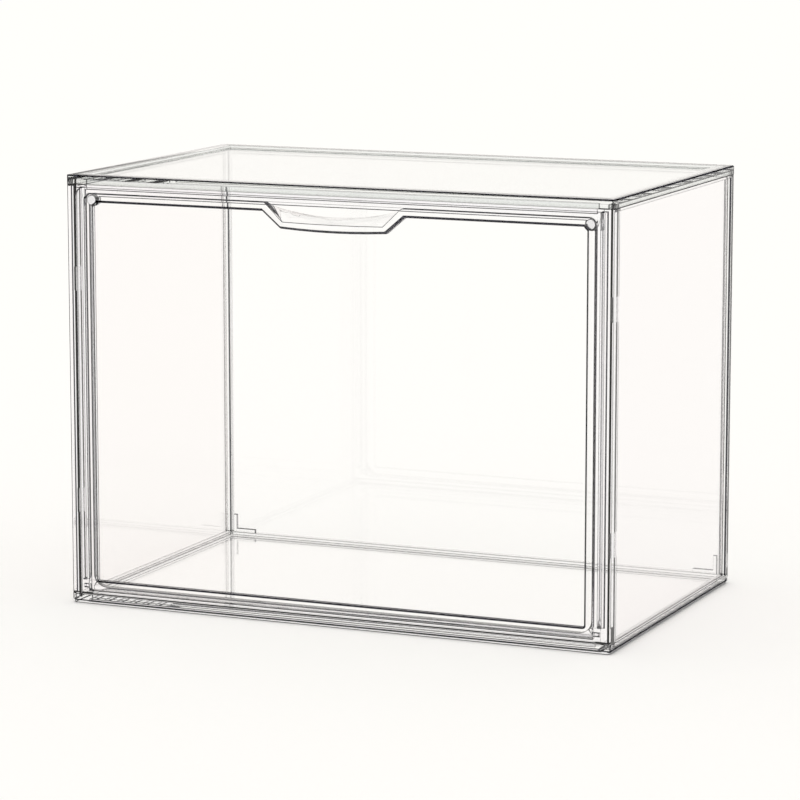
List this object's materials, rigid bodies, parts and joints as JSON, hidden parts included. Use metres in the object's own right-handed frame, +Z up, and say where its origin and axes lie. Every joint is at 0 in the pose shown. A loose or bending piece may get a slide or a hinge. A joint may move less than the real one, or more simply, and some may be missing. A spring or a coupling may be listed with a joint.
{
  "type": "clear storage box",
  "caption": "Clear rectangular storage box for shoes with a framed drop-front door, hinged along its lower edge and held shut by magnets, with a finger scoop in the door's top rail.",
  "frame": {"origin": "middle of the underside of the foot", "axes": "+X to the right seen from the front, -Y out of the front, +Z up"},
  "size_m": [0.36, 0.22, 0.27],
  "materials": {
    "clear_plastic": "clear, polished",
    "magnet": "bright nickel plate"
  },
  "bodies": {
    "case": {"bottom_panel": "clear_plastic", "top_panel": "clear_plastic", "left_side_panel": "clear_plastic", "right_side_panel": "clear_plastic", "back_panel": "clear_plastic", "front_frame": "clear_plastic", "frame_magnet_left": "magnet", "frame_magnet_right": "magnet"},
    "door": {"door": "clear_plastic", "door_magnet_left": "magnet", "door_magnet_right": "magnet"}
  },
  "joints": [
    {"name": "door_hinge", "type": "hinge", "parent": "case", "child": "door", "pos_m": [0, -0.1069, 0.0113], "axis": [1, 0, 0], "range_deg": [0, 90]}
  ]
}
